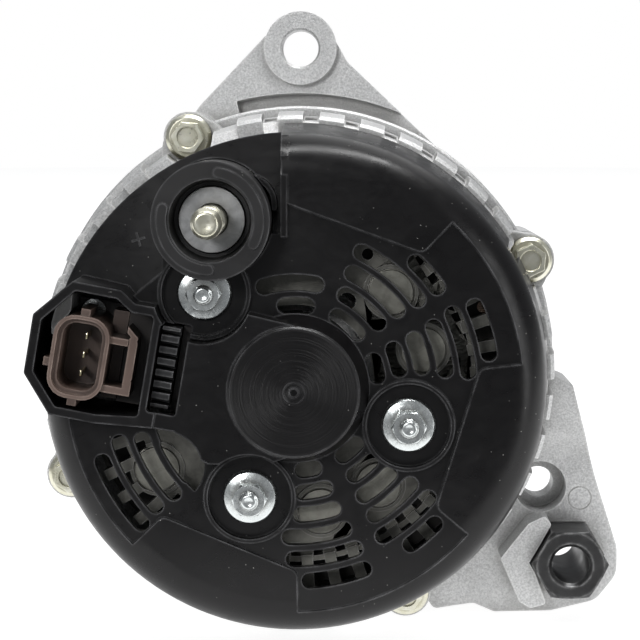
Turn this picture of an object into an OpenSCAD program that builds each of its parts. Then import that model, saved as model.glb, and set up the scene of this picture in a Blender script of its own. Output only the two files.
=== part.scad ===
// Car alternator, 12 V, internally fanned, with a plastic rear cover, an integral
// regulator and a multi-rib belt pulley.
// Frame: origin on the shaft's axis in the belt's centre plane, +Y from the rear
// cover towards the pulley, +Z towards the upper mounting ear, +X towards the foot.
// Inside the modules a depth y counts from the slotted face of the rear cover,
// and machine() moves the whole machine into the frame.

/* [Machine] */
// Depth of the belt's centre plane below the slotted face
belt_depth = 118; // [118:0.5:121]
// Radius of the circle that the four through bolts stand on
bolt_circle_r = 71.2; // [71:0.1:71.6]
// Angle of the first through bolt, seen from the rear
bolt_angle = 25.3; // [24:0.1:26]

/* [Rear cover] */
// Height of the hub cap above the slotted face
hub_height = 8.4; // [8:0.1:9]
// Radius of the hub cap's flat top
hub_r = 16.9; // [16.5:0.1:17.4]
// Radius of the cover at its open edge
cover_r = 68.4; // [68:0.1:68.6]
// Depth of the cover's open edge
cover_depth = 28.6; // [28:0.1:28.6]
// Width of a cooling slot
slot_w = 4.2; // [3.6:0.1:4.4]
// Radius of the innermost ring of slots
slot_ring_r = 21.6; // [21.4:0.1:21.8]
// Distance from one ring of slots to the next
slot_pitch = 5.87; // [5.8:0.01:5.9]

/* [Rectifier] */
// Depth of the positive plate's rear face
positive_y = 10; // [10:0.1:10.5]
// Depth of the negative plate's rear face
negative_y = 20; // [20:0.1:20.5]
// Radius of a press-fit diode
diode_r = 6.35; // [6:0.05:6.4]

/* [Stator and rotor] */
// Depth of the stator core's rear face
core_y = 46; // [46:0.5:46.5]
// Length of the stator core
core_length = 32; // [30:0.5:32]
// Outer radius of the stator core
core_r = 66.5; // [66:0.1:66.6]
// Inner radius of the stator core
bore_r = 50.5; // [50.4:0.1:51]
// Air gap between the rotor and the stator core
air_gap = 0.4; // [0.3:0.05:0.6]
// Number of stator slots
slot_count = 36; // [24:12:48]
// Claws on each pole wheel
claw_count = 8; // [6:1:8]

/* [Pulley] */
// Radius of the pulley's two flanges
flange_r = 30.5; // [29:0.5:32]
// Number of ribs that the belt has
rib_count = 6; // [5:1:7]
// Pitch of the belt's ribs
rib_pitch = 3.56; // [3.56:0.01:3.56]

/* [Mounting] */
// Radius of the upper ear's bolt hole
ear_hole_r = 5.25; // [5:0.05:5.5]
// Height of the upper ear's bolt hole above the shaft
ear_z = 89.9; // [89:0.1:91]
// Width across flats of the foot's hexagonal slide bush
bush_af = 19; // [18:0.5:19]
// Radius of the hole through the slide bush
bush_hole_r = 5.25; // [5:0.05:5.5]

/* [Hidden] */
$fn = 96;

plastic = [0.12, 0.12, 0.12];
cast = [0.76, 0.76, 0.75];
zinc = [0.82, 0.83, 0.84];
chromate = [0.80, 0.77, 0.62];
steel = [0.55, 0.55, 0.56];
copper = [0.72, 0.42, 0.22];

// Places on the rear, as [x, z]
nut_1 = [-23.2, 24.7];
nut_2 = [29.5, -9.6];
nut_3 = [-11.7, -28.6];
NUTS = [nut_1, nut_2, nut_3];
terminal = [-20.8, 43.8];
foot_at = [77, -56.2];
ear_at = [0, ear_z];
connector_angle = 170;
BOLTS = [for (i = [0:3]) bolt_angle + 90 * i];

// Cover surfaces
land = 1;
wall = 2;
pocket_y = 0.8;
bridge_y = -7.4;
shroud_y = -8;
shoulder_r = 55.8;
shoulder_f = 10.2;
shelf_slope = 0.396;
shelf_r = 34;

// Depths along the shaft
rear_bearing_y = 30;
front_bearing_y = 84;
front_bearing_end = 98;
pulley_y = 103;
ear_y = [65, 76];
foot_y = [42, 76];
core_end = core_y + core_length;
seat_r = core_r + 0.05;
rotor_r = bore_r - air_gap;

// ---------------------------------------------------------------- helpers

function unit(v) = v / norm(v);

// Points of an arc about [cx, cy]
function arc(cx, cy, r, a0, a1, n = 8) =
    [for (i = [0:n]) [cx + r * cos(a0 + (a1 - a0) * i / n), cy + r * sin(a0 + (a1 - a0) * i / n)]];

// One corner q of an outline, rounded to radius q.z between its neighbours p and s
function corner(p, q, s, n) =
    let (o = [q.x, q.y],
        a = unit([p.x, p.y] - o),
        b = unit([s.x, s.y] - o),
        half = acos(max(-1, min(1, a * b))) / 2,
        d = q.z / tan(half),
        c = o + unit(a + b) * q.z / sin(half),
        s0 = o + a * d - c,
        s1 = o + b * d - c,
        a0 = atan2(s0.y, s0.x),
        sweep = (atan2(s1.y, s1.x) - a0 + 540) % 360 - 180)
    q.z == 0 ? [o] : [for (i = [0:n]) c + q.z * [cos(a0 + sweep * i / n), sin(a0 + sweep * i / n)]];

// An outline from [x, z, corner radius] points
function rounded(pts, n = 5) =
    let (m = len(pts))
    [for (i = [0:m - 1]) each corner(pts[(i + m - 1) % m], pts[i], pts[(i + 1) % m], n)];

module machine() translate([0, -belt_depth, 0]) children();

// Extrudes a shape drawn in x and z from depth y1 to y2
module slab(y1, y2) translate([0, y2, 0]) rotate([90, 0, 0]) linear_extrude(y2 - y1) children();

// Turns a profile of [radius, depth] about the shaft
module turn() rotate([-90, 0, 0]) rotate_extrude() children();

module rod(r, y1, y2) rotate([-90, 0, 0]) translate([0, 0, y1]) cylinder(r = r, h = y2 - y1);

module tube(r1, r2, y1, y2) turn() translate([r1, y1]) square([r2 - r1, y2 - y1]);

module cone(r1, r2, y1, y2) rotate([-90, 0, 0]) translate([0, 0, y1])
    cylinder(r1 = r1, r2 = r2, h = y2 - y1);

// Stands children at an angle and a radius about the shaft
module at(a, r) rotate([0, -a, 0]) translate([r, 0, 0]) children();

module place(p) translate([p.x, 0, p.y]) children();

module hexagon(af) circle(r = af / sqrt(3), $fn = 6);

// A wedge between two angles, under 180 degrees wide
module wedge(a1, a2, r = 120) {
    mid = (a1 + a2) / 2;
    polygon([[0, 0], r * [cos(a1), sin(a1)], 1.6 * r * [cos(mid), sin(mid)], r * [cos(a2), sin(a2)]]);
}

// A sector of a ring, under 180 degrees wide
module sector(r1, r2, a1, a2) intersection() {
    difference() {
        circle(r2);
        circle(r1);
    }
    wedge(a1, a2);
}

// Regulator's own axes: x runs outwards along the connector's radius, z to its left
module regulator_2d() rotate(connector_angle) mirror([0, 1]) children();
module regulator_3d() rotate([0, -connector_angle, 0]) mirror([0, 0, 1]) children();

// ---------------------------------------------------------------- rear cover

// Slot i of a ring family, from one angle to another including its round ends
module cooling_slot(r, a1, a2) {
    half = slot_w / 2;
    lead = half / r * 180 / PI;
    sector(r - half, r + half, a1 + lead, a2 - lead);
    for (a = [a1 + lead, a2 - lead]) rotate(a) translate([r, 0]) circle(half - 0.03, $fn = 24);
}

module slot_group(first, pitch, spans)
    for (i = [0:len(spans) - 1]) if (spans[i] != [])
        cooling_slot(first + pitch * i, spans[i][0], spans[i][1]);

module cooling_slots() difference() {
    union() {
        slot_group(slot_ring_r, slot_pitch, [[3, 25], [6, 26], [6, 26], [4, 27], [3, 28], [8, 27]]);
        slot_group(slot_ring_r, slot_pitch, [[36, 65], [34, 66], [34, 67], [33, 67], [33, 49]]);
        slot_group(slot_ring_r, slot_pitch, [[76, 102], [74, 111]]);
        slot_group(slot_ring_r, slot_pitch,
            [[270, 289], [270, 291], [269, 291], [265, 292], [267, 293], [272, 293]]);
        slot_group(slot_ring_r, slot_pitch,
            [[300, 323], [300, 320], [299, 321], [299, 323], [298, 323], [304, 318]]);
        slot_group(36, slot_pitch, [[201, 223], [196, 224], [195, 223], [199, 224]]);
        intersection() {
            rotate(211) translate([39.2, 0]) circle(10.2);
            circle(37.6);
        }
    }
    for (p = NUTS) translate(p) circle(12.1);
    for (a = [-17, 70, 247.5]) plateau(a);
}

// The raised land between two fields of slots
module plateau(a) rotate(a)
    polygon(rounded([[44.2, -19.04, 2.5], [62, -26.7, 0], [62, 26.7, 0], [44.2, 19.04, 2.5]]));

module shelf_field(edge) polygon([[edge, 40], [edge, 80], [-80, 80], [-80, 22], [-44, 22], [-34, 30],
    [-34, 40]]);

module shelf_cut() intersection() {
    turn() polygon([[shelf_r, -3], [shelf_r, 0], [66, (66 - shelf_r) * shelf_slope],
        [90, (66 - shelf_r) * shelf_slope], [90, -3]]);
    slab(-3, 16) shelf_field(-3.5);
}

// Thick wall under the shelf and beside it; shelf_cut() trims its outside
module shelf_wall() {
    intersection() {
        turn() polygon([[shelf_r - 2, -0.5], [60, -0.5], [65.3, 5],
            [65.3, (66 - shelf_r) * shelf_slope + 2.4],
            [shelf_r - 2, 2.2]]);
        slab(-2, 17) shelf_field(-1.5);
    }
    intersection() {
        tube(63.2, 66, 10, cover_depth);
        slab(9, 30) shelf_field(-1.5);
    }
}

// Takes the cover's side wall back behind the shelf
module shelf_rim_cut() intersection() {
    tube(66, 75, 10, 30);
    slab(9, 30) shelf_field(-3.5);
}

module cover_shell() turn() polygon(concat(
    [[0, -hub_height], [hub_r - 0.5, -hub_height], [hub_r, -hub_height + 0.4], [19.3, 0], [19.3, -land]],
    arc(shoulder_r, shoulder_f - land, shoulder_f, -90, 0),
    [[cover_r, cover_depth], [cover_r - 2.2, cover_depth]],
    arc(shoulder_r, shoulder_f - land, shoulder_f - land - wall, 0, -90),
    [[17.6, wall], [14.6, wall - hub_height], [0, wall - hub_height]]));

bridge_outline = [[4, 16.2, 0], [-12.8, 20.2, 1], [-24.8, 14.2, 1], [-30.8, -9.5, 1.5], [-28.5, -15, 2],
    [-22, -18.6, 2], [-8, -19, 0], [4, -15, 0]];
bridge_hollow = [[4, 14, 0], [-12.2, 18, 0], [-23, 12.6, 0], [-28.6, -9, 0], [-26.8, -13.5, 0],
    [-21.4, -16.6, 0], [-8, -17, 0], [4, -13, 0]];
shroud_outline = [[68.6, 8.3, 1.2], [60, 18.3, 1.2], [47.5, 18.1, 1], [43.4, 15.3, 1], [34, 15.3, 0],
    [34, -15.4, 0], [49, -16.7, 1], [60.6, -16.5, 1.2], [68.6, -7, 1.2]];
shroud_hollow = [[66.3, 7.2, 1], [58.9, 16, 1], [48.2, 15.8, 1], [44, 13, 1], [38.2, 13, 1],
    [38.2, -13.1, 1], [49, -14.4, 1], [59.4, -14.2, 1], [66.3, -6.2, 1]];

module cover_tower() {
    slab(bridge_y, 3) polygon(rounded(bridge_outline));
    slab(bridge_y, 3) regulator_2d() translate([24, -15.4]) square([12, 30.7]);
    difference() {
        slab(shroud_y, 17) regulator_2d() polygon(rounded(shroud_outline));
        slab(3, 18) regulator_2d() translate([30, -20]) square([8.3, 40]);
    }
}

module cover_hollows() {
    slab(bridge_y + wall, 3.1) difference() {
        union() {
            polygon(rounded(bridge_hollow));
            regulator_2d() translate([23, -13.2]) square([13.4, 26.4]);
        }
        for (p = [nut_1, nut_3]) translate(p) circle(13.4);
        rotate(211) translate([39.2, 0]) circle(12.2);
    }
    slab(shroud_y - 1, 30) regulator_2d() polygon(rounded(shroud_hollow));
    slab(bridge_y - 1, 3.1) regulator_2d()
        polygon(rounded([[28.8, -11.4, 0.8], [36.3, -11.4, 0.8], [36.3, 11.3, 0.8], [28.8, 11.3, 0.8]]));
}

module rear_cover() color(plastic) machine() difference() {
    union() {
        difference() {
            union() {
                cover_shell();
                shelf_wall();
            }
            slab(-3, 0) difference() {
                circle(59);
                circle(19.3);
                for (a = [-17, 70, 247.5]) plateau(a);
            }
            shelf_cut();
            shelf_rim_cut();
        }
        difference() {
            cover_tower();
            for (p = [nut_1, nut_3]) place(p) rod(12.4, -10, pocket_y);
            slab(-10, 0.5) rotate(211) translate([39.2, 0]) circle(10.2);
        }
        slab(-land - 0.4, 2.5) translate([-3.5, 39.2]) square([1.7, 16]);
        slab(0.8, 9.8) intersection() {
            translate([-12.2, 47.5]) difference() {
                circle(7.7);
                circle(6.4);
            }
            translate([-13, 46]) square([9.4, 12]);
        }
        for (p = NUTS) place(p) {
            rod(12, pocket_y, 3);
            tube(10.9, 12, -land - 0.35, 2);
        }
    }
    cover_hollows();
    slab(-3, 4) cooling_slots();
    for (p = NUTS) place(p) {
        rod(10.9, -10, pocket_y);
        rod(2.75, -1, 5);
    }
    place(terminal) rod(15.3, -3, 12);
    rod(0.9, -hub_height - 1, -hub_height + 0.9);
    tube(1.4, 2.6, -hub_height - 1, -hub_height + 0.35);
    for (a = [30.3, 101]) at(a, 62) translate([0, 13, -2.7]) cube([9, 17, 5.4]);
}

// Studs that hold the cover: a hexagonal pillar with a threaded end at the rear
module cover_studs() color(zinc) machine() for (p = NUTS) place(p) {
    slab(3, 29.4) hexagon(8);
    rod(2.5, -6.2, 3);
    cone(1.9, 2.5, -6.8, -6.2);
}

module cover_nuts() color(zinc) machine() for (p = NUTS) place(p) difference() {
    union() {
        cone(6.6, 7.1, -0.6, 0);
        rod(7.1, 0, pocket_y);
        cone(4.6, 6.6, -1.1, -0.6);
        slab(-4.4, 0.4) hexagon(8);
        intersection() {
            slab(-5, -4.3) hexagon(8);
            cone(4, 4.8, -5, -4.3);
        }
    }
    rod(2.5, -6, 2);
}

// ---------------------------------------------------------------- output terminal

module b_terminal_insulator() color(plastic) machine() place(terminal) difference() {
    union() {
        rod(15, -11.4, 9.9);
        slab(-12.3, -11) {
            sector(10.9, 13.6, -28, 80);
            sector(10.9, 13.6, 165, 268);
            for (a = [-28, 80, 165, 268]) rotate(a) translate([12.25, 0]) circle(1.3, $fn = 24);
        }
    }
    cone(10.6, 9.6, -13, -4);
    rod(8.7, -5, 11);
    place(nut_1 - terminal) rod(8, -5.4, 11);
}

module b_terminal_washer() color(zinc) machine() place(terminal) difference() {
    rod(8.5, -5.2, 5.6);
    rod(4.1, -6, 6);
}

module b_terminal_stud() color(chromate) machine() place(terminal) {
    rod(4, -24, -5.2);
    rod(3.8, -5.2, 13);
    cone(3.2, 4, -24.8, -24);
    rod(3.2, -27, -24.8);
    slab(6, 9.9) hexagon(13);
    slab(13, 15.5) hexagon(13);
}

// ---------------------------------------------------------------- regulator and brushes

module regulator_box(u1, u2, v1, v2, y1, y2) regulator_3d()
    translate([u1, y1, v1]) cube([u2 - u1, y2 - y1, v2 - v1]);

module regulator_body() color(plastic) machine() difference() {
    union() {
        slab(13, 19) regulator_2d()
            polygon([[27.8, -12.4], [60.2, -12.4], [65.4, -5.9], [65.4, 6.8], [60.9, 12.4], [27.8, 12.4]]);
        regulator_box(38.8, 45.4, -12, 12, 4, 13.2);
        regulator_box(27.8, 31, -12, 12, 3.4, 13.2);
    }
    for (v = [-9, 9]) regulator_3d() translate([56, 0, v]) {
        rod(2.1, 12, 20);
        rod(3.5, 12, 16);
    }
}

// Finned block that shows in the cover's window
module regulator_heatsink() color([0.2, 0.2, 0.2]) machine() difference() {
    regulator_box(31.2, 36, -10.6, 10.6, -3.6, 12.8);
    for (i = [0:6]) regulator_box(30, 37, -9.6 + 3 * i, -8.4 + 3 * i, -4, 0.5);
}

connector_at = [55.6, -0.9];

module stadium(length, width, r) polygon(rounded([[-width / 2, -length / 2, r], [width / 2, -length / 2, r],
    [width / 2, length / 2, r], [-width / 2, length / 2, r]]));

module connector_housing() color([0.47, 0.36, 0.31]) machine() regulator_3d() {
    translate([connector_at.x, 0, connector_at.y]) {
        difference() {
            slab(-7.2, 12.8) stadium(21.5, 14.4, 5.4);
            slab(-8, 8) stadium(17.3, 10.2, 3.4);
            slab(-8, -5) stadium(19.5, 12.4, 4.5);
        }
        for (v = [10.5, -12.6]) translate([-1.2, -6.4, v]) cube([2.4, 14, 2.1]);
        translate([7, -6.4, -3.4]) cube([1.8, 14, 2.2]);
    }
    // Locking loop on the inner side
    slab(-5.6, 3.8) {
        polygon(rounded([[41.4, -5.4, 1.2], [43.6, -5.4, 0.4], [43.6, 6.4, 0.4], [41.4, 6.4, 1.6]]));
        polygon([[41.8, 5], [44.4, 7.4], [44.4, 9], [41.4, 6.4]]);
        translate([43, -8.8]) square([6, 1.9]);
        translate([41.4, -7.2]) square([2.2, 2.2]);
        translate([43.8, 3.9]) square([5, 1.8]);
    }
    // Base under the loop
    translate([45.6, 4.4, -11.6]) cube([4, 8.4, 23.2]);
    translate([41.4, -5.6, -8.8]) cube([2.2, 9.4, 1.8]);
}

module connector_pins() color([0.86, 0.78, 0.5]) machine() regulator_3d()
    for (v = [-4.9, 0, 4.9]) translate([connector_at.x - 0.4, 0, connector_at.y + v])
        translate([-0.3, 0, -0.8]) cube([0.6, 8, 1.6]);

brush_y = [1, 10];
brush_w = 7;
brush_t = 5;
brush_end = 18;

module brush_holder() color([0.16, 0.14, 0.13]) machine() difference() {
    union() {
        regulator_box(9.2, 27.2, -6.4, 6.4, -4.2, 15);
        regulator_box(19, 26.4, -10.2, 10.2, 6, 13);
        regulator_3d() rotate([0, 0, 0]) slab(-4.2, 15) difference() {
            intersection() {
                circle(11.5);
                translate([3, -8]) square([10, 16]);
            }
            circle(8.4);
        }
    }
    for (y = brush_y) regulator_box(2, 25.2, -brush_w / 2 - 0.15, brush_w / 2 + 0.15,
        y - brush_t / 2 - 0.15, y + brush_t / 2 + 0.15);
    for (v = [-8.4, 8.4]) regulator_3d() translate([22.6, 0, v]) rod(1.6, 5, 16);
}

module brush(y) color([0.13, 0.13, 0.14]) machine() difference() {
    regulator_box(3, brush_end, -brush_w / 2, brush_w / 2, y - brush_t / 2, y + brush_t / 2);
    rod(7.26, -5, 16);
}
module brush_positive() brush(brush_y[0]);
module brush_negative() brush(brush_y[1]);

// A helical spring as a swept tube, standing along z from 0
function helix_ring(t, r, h, turns, wire, sides) =
    let (a = 360 * turns * t)
    [for (k = [0:sides - 1]) let (b = 360 * k / sides)
        [(r + wire * cos(b)) * cos(a), (r + wire * cos(b)) * sin(a), wire + (h - 2 * wire) * t
            + wire * sin(b)]];

module spring(r, h, turns, wire) {
    sides = 8;
    rings = turns * 14;
    points = [for (i = [0:rings]) each helix_ring(i / rings, r, h, turns, wire, sides)];
    ends = [[for (k = [0:sides - 1]) k], [for (k = [0:sides - 1]) rings * sides + sides - 1 - k]];
    sides_faces = [for (i = [0:rings - 1], k = [0:sides - 1])
        [i * sides + k, (i + 1) * sides + k, (i + 1) * sides + (k + 1) % sides,
            i * sides + (k + 1) % sides]];
    polyhedron(points, concat(ends, sides_faces));
}

module brush_spring(y) color(steel) machine() regulator_3d() translate([brush_end, y, 0])
    rotate([0, 90, 0]) spring(1.7, 25.2 - brush_end, 5, 0.35);
module brush_spring_positive() brush_spring(brush_y[0]);
module brush_spring_negative() brush_spring(brush_y[1]);

module regulator_screws() color(zinc) machine() regulator_3d() {
    for (p = [[22.6, -8.4], [22.6, 8.4]]) place(p) {
        rod(1.9, 3.6, 6);
        rod(1.5, 6, 12.8);
    }
    for (p = [[56, -9], [56, 9]]) place(p) {
        rod(3.3, 13.4, 16);
        rod(2, 16, 28.6);
    }
}

// ---------------------------------------------------------------- rectifier

DIODES_POSITIVE = [[34.8, 15], [34.8, 44], [34.8, 281], [34.8, 309], [43.2, 212], [43.5, 240]];
DIODES_NEGATIVE = [[46, 30], [46, 62], [46, 268], [46, 296], [46, 330], [44, 228]];

module rectifier_outline(r1, r2) {
    sector(r1, r2, 196, 300);
    sector(r1, r2, 290, 390);
    sector(r1, r2, 380, 482);
}

module rectifier_positive_plate() color([0.52, 0.52, 0.48]) machine() difference() {
    union() {
        slab(positive_y, positive_y + 3) {
            intersection() {
                rectifier_outline(20.8, 50);
                union() {
                    sector(20, 48, 190, 300);
                    sector(20, 48, 290, 390);
                    sector(20, 48, 380, 446);
                    sector(20, 50, 446, 482);
                }
            }
        }
        for (a = [198.75:7.5:446.25]) at(a, 46) translate([0, positive_y - 1.5, -1.5]) cube([10, 4.1, 3]);
        for (d = DIODES_POSITIVE) at(d[1], d[0]) rod(diode_r + 0.9, positive_y - 0.6, positive_y + 2.7);
    }
    for (d = DIODES_POSITIVE) at(d[1], d[0]) rod(diode_r, 0, 20);
    for (a = [202.5:7.5:442.5]) at(a, 43) translate([0, 0, -1.3]) cube([3.6, 20, 2.6]);
    for (p = NUTS) place(p) rod(7, 0, 20);
    place(terminal) rod(4, 0, 20);
    at(61, 39) rod(1.5, 0, 20);
    at(58, 25.6) rod(2.3, 0, 20);
    regulator_box(18, 27.8, -11, 11, 5, 14);
}

module diode(y1, y2) {
    rod(diode_r - 0.5, y1, y2);
    rod(diode_r, y1 + 1, y2);
}

module positive_diodes() color([0.6, 0.6, 0.56]) machine() for (d = DIODES_POSITIVE) at(d[1], d[0]) {
    diode(positive_y - 1.2, positive_y + 3);
    rod(0.7, positive_y + 3, positive_y + 5.5);
}

module rectifier_negative_plate() color([0.6, 0.6, 0.58]) machine() difference() {
    slab(negative_y, negative_y + 3.4) {
        rectifier_outline(27, 57);
    }
    for (d = DIODES_NEGATIVE) at(d[1], d[0]) rod(diode_r, 0, 30);
    for (p = NUTS) place(p) rod(5.4, 0, 30);
    place(terminal) rod(9, 0, 30);
    for (a = [45, 282, 313]) at(a, 34) rod(6, 0, 30);
    for (a = LEADS) at(a, 53.4) rod(1.6, 0, 30);
}

module negative_diodes() color([0.6, 0.6, 0.56]) machine() for (d = DIODES_NEGATIVE) at(d[1], d[0]) {
    diode(negative_y - 1, negative_y + 3.4);
    rod(0.7, negative_y - 3.2, negative_y - 1);
}

// Moulded block between the plates that carries the conductors
module rectifier_terminal_block() color(plastic) machine() difference() {
    slab(15.6, 18.6) difference() {
        rectifier_outline(27, 55);
        for (d = DIODES_POSITIVE) rotate(d[1]) translate([d[0], 0]) circle(5);
        for (d = DIODES_NEGATIVE) rotate(d[1]) translate([d[0], 0]) circle(4);
        for (p = NUTS) translate(p) circle(5.4);
        translate(terminal) circle(9);
        for (a = LEADS) rotate(a) translate([53.4, 0]) circle(0.95);
    }
}

// Six ends of the winding that rise to the rectifier
LEADS = [206, 238, 262, 318, 350, 22];
module phase_leads() color(copper) machine() for (a = LEADS) at(a, 53.4) {
    rod(0.9, 14, 35.4);
    rod(1.6, 13.4, 15.5);
}

// ---------------------------------------------------------------- housings

module lug_ring(r, y1, y2) slab(y1, y2) for (a = BOLTS) rotate(a) {
    translate([bolt_circle_r - 4.4, 0]) circle(r + 2.4);
    translate([bolt_circle_r, 0]) circle(r);
}

// Lands of the rear housing's rim in each quarter, as [offset from the bolt, pitch, last land]
LANDS = [[11, 9.2, 7], [14.7, 10.6, 6], [11, 9.2, 7], [11, 9.2, 7]];

module in_lands(offset) for (q = [0:3], i = [0:LANDS[q][2] - offset])
    rotate([0, -(BOLTS[q] + LANDS[q][0] + LANDS[q][1] * (i + offset / 2)), 0]) children();

module rear_housing() color(cast) machine() difference() {
    union() {
        turn() polygon([[17.5, 28.9], [66, 28.9], [68.8, 31], [69.8, 38], [70.4, 54],
            [seat_r, 54], [seat_r, core_y], [64.4, core_y], [64.4, 33.4], [21.4, 33.4], [21.4, 42.6],
            [17.5, 42.6]]);
        intersection() {
            turn() polygon([[66, 28.9], [69.4, 28.9], [70.4, 30], [71.2, 36], [71.7, 44], [71.7, 50],
                [66, 50]]);
            in_lands(0) translate([64, 28, -3.4]) cube([12, 24, 6.8]);
        }
        lug_ring(7.1, 42.6, 54);
        for (p = NUTS) place(p) rod(6, 29.4, 33);
        rod(17.6, 40.8, 42.6);
    }
    rod(seat_r, core_y, 55);
    rod(62.6, 42, core_y + 0.1);
    // Room for the bolts' heads
    for (a = BOLTS) at(a, bolt_circle_r) rod(7.3, 27, 42.5);
    // Air outlets in the rim, one in each gap between two lands
    in_lands(1) translate([60, 33.6, -1.7]) cube([16, 8, 3.4]);
    // Air inlets through the end wall
    for (i = [0:13]) slab(28, 34) rotate(360 / 14 * i) sector(25, 49, -8.5, 8.5);
    for (a = LEADS) at(a, 53.4) rod(2.4, 28, 34);
    for (p = NUTS) place(p) rod(4.8, 28, 29.4);
    for (a = BOLTS) at(a, bolt_circle_r) rod(3.25, 42, 56);
    rod(8.2, 28, 60);
}

// Outline of the front housing's upper ear
ear_outline = [[-10.2, 93.5, 0], [-29.5, 73.2, 6], [-45, 52, 0], [0, 40, 0], [50, 48, 0], [39, 62, 8],
    [13.6, 86, 3], [10.2, 92, 0]];

// Outline of the lower foot
foot_outline = [[66, 8, 0], [73, -3.5, 3], [78, -5.5, 2.5], [81, -17, 10], [85.5, -34, 16],
    [92, -54, 10], [92, -62, 7], [86, -69.6, 6], [73, -72.8, 6], [56.5, -73.2, 3], [50.5, -70.6, 3],
    [45, -71.4, 3], [39, -72.4, 2], [32, -62, 0], [30, -40, 0], [60, -10, 0]];

function off_bolt(a) = min([for (b = BOLTS) abs((a - b + 900) % 360 - 180)]);

module front_end_windows() for (i = [0:13]) slab(88, 100) rotate(360 / 14 * i) sector(36, 58, -7.6, 7.6);

module front_housing() color(cast) machine() difference() {
    union() {
        turn() polygon([[seat_r, 58], [72.6, 58], [73.2, 58.6], [73.2, 66], [71.4, 68], [71.4, 84],
            [66, 94.5], [62, 96], [28, 97.5], [27, 100], [17.5, 100], [17.5, front_bearing_end],
            [23.5, front_bearing_end], [23.5, front_bearing_y], [31, front_bearing_y], [31, 90], [61, 90],
            [64.5, 86], [64.5, core_end], [seat_r, core_end]]);
        lug_ring(7.1, 58, 87.6);
        // Upper ear: its web stands back from the boss, and a cove runs along the ring
        slab(67.6, ear_y[1]) difference() {
            polygon(rounded(ear_outline));
            circle(70);
        }
        place(ear_at) rod(10.5, ear_y[0], ear_y[1]);
        // Foot: the upper web stands proud and slopes back to the plate
        intersection() {
            slab(50, 71) difference() {
                polygon(rounded(foot_outline));
                circle(71);
            }
            translate([25, 0, 0]) rotate([90, 0, 90]) linear_extrude(80)
                polygon([[50.5, 30], [50.5, -20.5], [54, -27], [54, -80], [70, -80], [70, 30]]);
        }
        place(foot_at) rod(13.2, 54.4, foot_y[1]);
        // Wall that keeps the hexagon from turning
        slab(43.4, 55) difference() {
            polygon(rounded([[65.2, -44.9, 1], [69.8, -42.6, 1], [71.8, -45, 1], [66, -55.8, 0],
                [70.6, -68.2, 1], [66, -69.4, 1], [62.9, -67.6, 1], [57.4, -54.9, 1]]));
            translate(foot_at) hexagon(bush_af + 0.8);
        }
        // Bosses for the retainer's screws
        for (a = [45:90:315]) at(a, 28) rod(4.5, 84.2, 92);
    }
    // Cove between the ring and the ear's web
    slab(66, 71.2) intersection() {
        sector(73.2, 77, 62, 104);
        polygon(rounded(ear_outline));
    }
    place(ear_at) {
        rod(ear_hole_r, 60, 80);
        cone(ear_hole_r + 0.6, ear_hole_r, ear_y[0] - 0.01, ear_y[0] + 0.6);
    }
    rod(seat_r, 50, core_end);
    rod(61.4, core_end - 0.1, 88);
    place(foot_at) rod(8.3, 50, 80);
    place(foot_at) slab(41, 54.4) hexagon(bush_af + 0.8);
    place([81, -39.5]) tube(3.1, 3.5, 53, 54.25);
    place([69.6, -36.2]) {
        rod(4.5, 50, 80);
        rod(7.4, 50, 62);
    }
    for (a = BOLTS) at(a, bolt_circle_r) rod(2.95, 53, 84.4);
    front_end_windows();
    for (i = [0:35]) if (off_bolt(10 * i + 5) > 9) at(10 * i + 5, 58)
        translate([0, 79.6, -2.8]) cube([20, 7.4, 5.6]);
    for (a = [45:90:315]) at(a, 28) rod(2, 83, 90.5);
}

// Four long screws that draw the two housings onto the stator core
module through_bolts() color(chromate) machine() for (a = BOLTS) at(a, bolt_circle_r) {
    rod(2.9, 42, 84);
    rod(6.4, 41.2, 42.5);
    cone(5.4, 6.4, 40.4, 41.2);
    difference() {
        slab(36.8, 40.8) hexagon(8);
        rod(2.9, 36, 37.6);
    }
}

// ---------------------------------------------------------------- stator

module stator_slots(y1, y2) for (i = [0:slot_count - 1]) at(360 / slot_count * i, bore_r - 1)
    translate([0, y1, -1.7]) cube([12.5, y2 - y1, 3.4]);

module stator_core() color([0.35, 0.35, 0.36]) machine() difference() {
    tube(bore_r, core_r, core_y, core_end);
    stator_slots(core_y - 1, core_end + 1);
}

// Coil ends: a ring with rows of hairpin bends between the slots
module stator_winding_rear() color(copper) machine() {
    tube(53, 60.6, 38.4, core_y);
    for (i = [0:slot_count - 1], k = [0:2]) at(360 / slot_count * (i + 0.5), 53.3 + 2.5 * k)
        translate([0, 35.6, -1.8]) cube([1.9, 3, 3.6]);
}

module stator_winding_front() color(copper) machine() {
    tube(53, 60.6, core_end, 85);
    for (i = [0:slot_count - 1], k = [0:2]) at(360 / slot_count * (i + 0.5), 53.3 + 2.5 * k)
        translate([0, 84.8, -1.8]) cube([1.9, 3, 3.6]);
}

// The straight sides of the hairpins in the core's slots
module slot_conductors() color([0.78, 0.62, 0.42]) machine() for (i = [0:slot_count - 1])
    at(360 / slot_count * i, bore_r + 0.6) translate([0, core_y, -1.55]) cube([10.6, core_length, 3.1]);

// ---------------------------------------------------------------- bearings

module bearing_outer(r1, r2, rp, rb, y1, y2) difference() {
    union() {
        tube(rp + rb * 0.55, r2, y1, y2);
        tube(r1 + 0.35, r2 - 0.5, y1 + 0.5, y1 + 1.1);
        tube(r1 + 0.35, r2 - 0.5, y2 - 1.1, y2 - 0.5);
    }
    turn() translate([rp, (y1 + y2) / 2]) circle(rb + 0.08);
}

module bearing_inner(r1, r2, rp, rb, y1, y2) difference() {
    tube(r1, r2, y1, y2);
    turn() translate([rp, (y1 + y2) / 2]) circle(rb + 0.08);
}

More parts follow.
